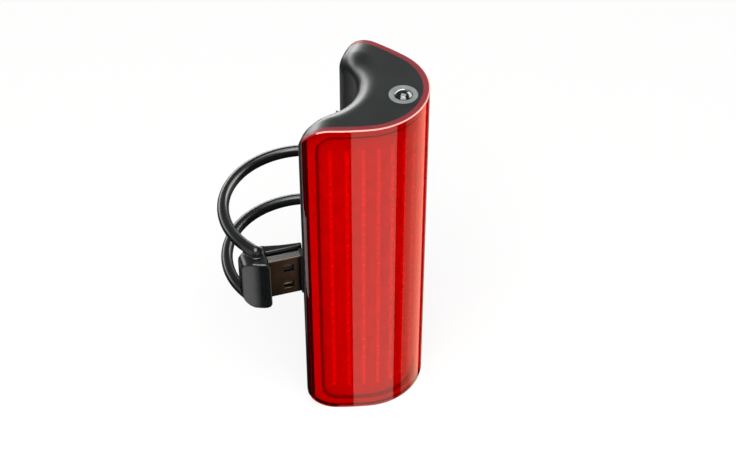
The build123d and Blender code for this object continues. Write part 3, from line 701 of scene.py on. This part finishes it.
def addWorld():
    world = bpy.data.worlds.new("paleRoom")
    world.use_nodes = True
    bpy.context.scene.world = world
    tree = world.node_tree
    tree.nodes.clear()
    direction = addNode(tree, "ShaderNodeTexCoord").outputs["Generated"]
    parts = addNode(tree, "ShaderNodeSeparateXYZ", links={0: direction})
    rise = addNode(
        tree, "ShaderNodeMapRange",
        {1: stage["riseFrom"], 2: stage["riseTo"], 3: stage["horizon"], 4: stage["zenith"]},
        {0: parts.outputs["Z"]},
    )
    side = addNode(
        tree, "ShaderNodeMapRange",
        {1: stage["sideFrom"], 2: stage["sideTo"], 3: stage["leftSide"], 4: stage["rightSide"]},
        {0: parts.outputs["X"]},
    )
    level = addNode(
        tree, "ShaderNodeMath", {"operation": "MULTIPLY"}, {0: rise.outputs[0], 1: side.outputs[0]}
    )
    glow = addNode(tree, "ShaderNodeBackground", {"Color": white}, {"Strength": level.outputs[0]})
    addNode(tree, "ShaderNodeOutputWorld", links={"Surface": glow.outputs[0]})


overheadBox = {"place": (0.1, -0.35, 0.75), "aim": (0, 0, 0), "size": 0.7, "power": 9}


def addOverheadBox():
    bpy.ops.object.light_add(type="AREA", location=overheadBox["place"])
    lamp = bpy.context.object
    lamp.name = "overheadBox"
    lamp.data.shape = "DISK"
    lamp.data.size = overheadBox["size"]
    lamp.data.energy = overheadBox["power"]
    direction = Vector(overheadBox["aim"]) - Vector(overheadBox["place"])
    lamp.rotation_euler = direction.to_track_quat("-Z", "Y").to_euler()
    lamp.visible_camera = False


# Cards are plain shapes that only reflections see, like those that a photographer sets round a glossy thing
def finishCard(card, name, material):
    card.name = name
    card.data.materials.append(material)
    card.visible_camera = False
    card.visible_diffuse = False
    card.visible_transmission = False
    card.visible_volume_scatter = False
    card.visible_shadow = False


def finishGlow(tree, settings, links=None):
    glow = addNode(tree, "ShaderNodeEmission", settings, links)
    finishMaterial(tree, glow.outputs[0])


def evenGlow(name, strength):
    material, tree = startMaterial(name)
    finishGlow(tree, {"Color": white, "Strength": strength})
    return material


# Cards on the floor. A black one lies round the light, so that its upright faces stay dark, and white wedges
# over it give the lens its upright stripes. Each edge of a wedge starts at a point of the lens's foot and
# runs the way in which the camera sees the floor mirrored there. From and to are the ways, in degrees, in
# which the lens faces at those two points, and the two glows are the strengths at those edges. In plan the
# lens is an arc round the nose with a flatter arc along the near side.
floorCards = {
    "blackRadius": 0.8, "blackSides": 64, "blackHeight": -47.3 * mm, "whiteHeight": -47.1 * mm, "reach": 0.75,
    "noseCentre": 14.75 * mm, "noseRadius": 15.8 * mm, "noseTurn": 66.3,
    "sideCentre": (-6.23 * mm, 47.8 * mm), "sideRadius": 68 * mm,
}
wedges = [
    {"name": "rimCard", "from": -107, "to": -99, "glow": (0.8, 0.8), "tint": "FFFFFF"},
    {"name": "broadWhiteCard", "from": -70, "to": -43, "glow": (1.0, 1.0), "tint": "FFF2E0"},
    {"name": "gradedCard", "from": -34, "to": -5, "glow": (0.4, 1.1), "tint": "FFEAC8"},
    {"name": "edgeCard", "from": 4, "to": 14, "glow": (0.4, 0.4), "tint": "FFEAC8"},
]


def lensFoot(turn):
    # point of the lens's outline, in plan, where it faces this way
    angle = radians(turn)
    if abs(turn) <= floorCards["noseTurn"]:
        radius = floorCards["noseRadius"]
        return Vector((floorCards["noseCentre"] + radius * cos(angle), radius * sin(angle), 0))
    centre, radius = floorCards["sideCentre"], floorCards["sideRadius"]
    return Vector((centre[0] + radius * cos(angle), centre[1] + radius * sin(angle), 0))


def mirroredWay(turn):
    # way in which the camera sees the floor mirrored in the lens where it faces this way
    view = Vector(cameraView["place"]) - lensFoot(turn)
    view.z = 0
    view.normalize()
    normal = Vector((cos(radians(turn)), sin(radians(turn)), 0))
    return (2 * normal.dot(view) * normal - view).normalized()


def wedgeMaterial(wedge):
    # brightness changes with the way round from the wedge's first edge to its last
    material, tree = startMaterial(wedge["name"])
    start, end = [atan2(way.y, way.x) for way in (mirroredWay(wedge["from"]), mirroredWay(wedge["to"]))]
    foot = lensFoot((wedge["from"] + wedge["to"]) / 2)
    moved = addNode(tree, "ShaderNodeVectorMath", {"operation": "SUBTRACT", 1: foot}, {0: placeOf(tree)})
    parts = addNode(tree, "ShaderNodeSeparateXYZ", links={0: moved.outputs[0]})
    angle = addNode(
        tree, "ShaderNodeMath", {"operation": "ARCTAN2"}, {0: parts.outputs["Y"], 1: parts.outputs["X"]}
    )
    low, high = wedge["glow"]
    rise = addNode(tree, "ShaderNodeMapRange", {1: start, 2: end, 3: low, 4: high}, {0: angle.outputs[0]})
    finishGlow(tree, {"Color": linear(wedge["tint"])}, {"Strength": rise.outputs[0]})
    return material


def addFloorCards():
    deselectAll()
    bpy.ops.mesh.primitive_circle_add(
        vertices=floorCards["blackSides"], radius=floorCards["blackRadius"], fill_type="NGON",
        location=(0, 0, floorCards["blackHeight"]),
    )
    finishCard(bpy.context.object, "blackCard", evenGlow("blackCard", 0))
    for wedge in wedges:
        bpy.ops.mesh.primitive_plane_add(size=1)
        card = bpy.context.object
        edges = [(lensFoot(turn), mirroredWay(turn)) for turn in (wedge["from"], wedge["to"])]
        corners = [foot for foot, way in edges] + [foot + way * floorCards["reach"] for foot, way in edges]
        for vertex, corner in zip(card.data.vertices, corners):
            vertex.co = (corner.x, corner.y, floorCards["whiteHeight"])
        finishCard(card, wedge["name"], wedgeMaterial(wedge))


# Upright arcs round the light: over the back and the left, low behind it, and high at the back right. From
# and to are directions in degrees, and the two glows are the strengths there.
arcs = [
    {
        "name": "backArc", "radius": 0.9, "from": 100, "to": 190, "bottom": -40 * mm, "top": 0.42,
        "glow": (8.5, 4.2),
    },
    {
        "name": "lowArc", "radius": 0.3, "from": 95, "to": 140, "bottom": -47 * mm, "top": 10 * mm,
        "glow": (9.0, 4.0),
    },
    {
        "name": "backRightArc", "radius": 0.9, "from": 15, "to": 76, "bottom": 0.2, "top": 1.1,
        "glow": (10.0, 9.0),
    },
]
arcShape = {"steps": 32, "footShare": 0.3, "brightest": 0.35}


def arcMaterial(arc):
    # brightest a third of the way up, dimmer at its foot and dark at its top, and changing from start to end
    material, tree = startMaterial(arc["name"])
    parts = addNode(tree, "ShaderNodeSeparateXYZ", links={0: placeOf(tree)})
    height = addNode(
        tree, "ShaderNodeMapRange", {1: arc["bottom"], 2: arc["top"], 3: 0.0, 4: 1.0}, {0: parts.outputs["Z"]}
    )
    ramp = addNode(tree, "ShaderNodeValToRGB", links={"Fac": height.outputs[0]})
    share = arcShape["footShare"]
    ramp.color_ramp.interpolation = "EASE"
    ramp.color_ramp.elements[0].color = (share, share, share, 1)
    ramp.color_ramp.elements[1].color = (0, 0, 0, 1)
    ramp.color_ramp.elements.new(arcShape["brightest"]).color = white
    # turn is counted from +Y, so that it doesn't jump on the left
    left = addNode(tree, "ShaderNodeMath", {"operation": "MULTIPLY", 1: -1.0}, {0: parts.outputs["X"]})
    turn = addNode(
        tree, "ShaderNodeMath", {"operation": "ARCTAN2"}, {0: left.outputs[0], 1: parts.outputs["Y"]}
    )
    start, end = radians(arc["from"] - 90), radians(arc["to"] - 90)
    low, high = arc["glow"]
    level = addNode(tree, "ShaderNodeMapRange", {1: start, 2: end, 3: low, 4: high}, {0: turn.outputs[0]})
    finishGlow(tree, {}, {"Color": ramp.outputs["Color"], "Strength": level.outputs[0]})
    return material


def addArcCard(arc):
    deselectAll()
    bpy.ops.mesh.primitive_plane_add(size=1)
    card = bpy.context.object
    start, end = radians(arc["from"]), radians(arc["to"])
    foot = Vector((arc["radius"] * cos(start), arc["radius"] * sin(start), arc["bottom"]))
    for vertex in card.data.vertices:
        vertex.co = foot + Vector((0, 0, (arc["top"] - arc["bottom"]) * (vertex.co.x > 0)))
    cleanMesh(card)
    bpy.ops.object.mode_set(mode="EDIT")
    bpy.ops.mesh.select_all(action="SELECT")
    bpy.ops.mesh.spin(steps=arcShape["steps"], angle=start - end, center=(0, 0, 0), axis=(0, 0, 1))
    bpy.ops.object.mode_set(mode="OBJECT")
    finishCard(card, arc["name"], arcMaterial(arc))


# Small card low off the cap's rounded front, which mirrors it, where the lens can't. It fades out towards the
# lens, between two places on X.
capCard = {
    "place": (-13.4 * mm, -43.6 * mm, -23 * mm), "turn": -114, "size": (28 * mm, 30 * mm), "glow": 1.5,
    "fadeFrom": -11 * mm, "fadeTo": -1 * mm,
}


def addCapCard():
    deselectAll()
    bpy.ops.mesh.primitive_plane_add(
        size=1, location=capCard["place"], rotation=(pi / 2, 0, radians(capCard["turn"] + 90))
    )
    card = bpy.context.object
    card.scale = (*capCard["size"], 1)
    applyPlace(card)
    material, tree = startMaterial("capCard")
    parts = addNode(tree, "ShaderNodeSeparateXYZ", links={0: placeOf(tree)})
    fade = addNode(
        tree, "ShaderNodeMapRange",
        {1: capCard["fadeFrom"], 2: capCard["fadeTo"], 3: capCard["glow"], 4: 0.0}, {0: parts.outputs["X"]},
    )
    finishGlow(tree, {"Color": white}, {"Strength": fade.outputs[0]})
    finishCard(card, "capCard", material)


# Level cards: a grey one on the floor for the hollow back, a bright one overhead for the strap and the button
levelCards = [
    {"name": "wallCard", "place": (-98 * mm, 50 * mm, -47.1 * mm), "size": 90 * mm, "glow": 0.25},
    {"name": "topCard", "place": (0, 0.09, 0.9), "size": 0.6, "glow": 6.0},
]


def addLevelCard(look):
    deselectAll()
    bpy.ops.mesh.primitive_plane_add(size=look["size"], location=look["place"])
    card = bpy.context.object
    applyPlace(card)
    finishCard(card, look["name"], evenGlow(look["name"], look["glow"]))


addFloor()
addWorld()
addFloorCards()
for arc in arcs:
    addArcCard(arc)
addCapCard()
for look in levelCards:
    addLevelCard(look)
addOverheadBox()
print("floor and light set")

bpy.context.scene.view_settings.view_transform = "Standard"
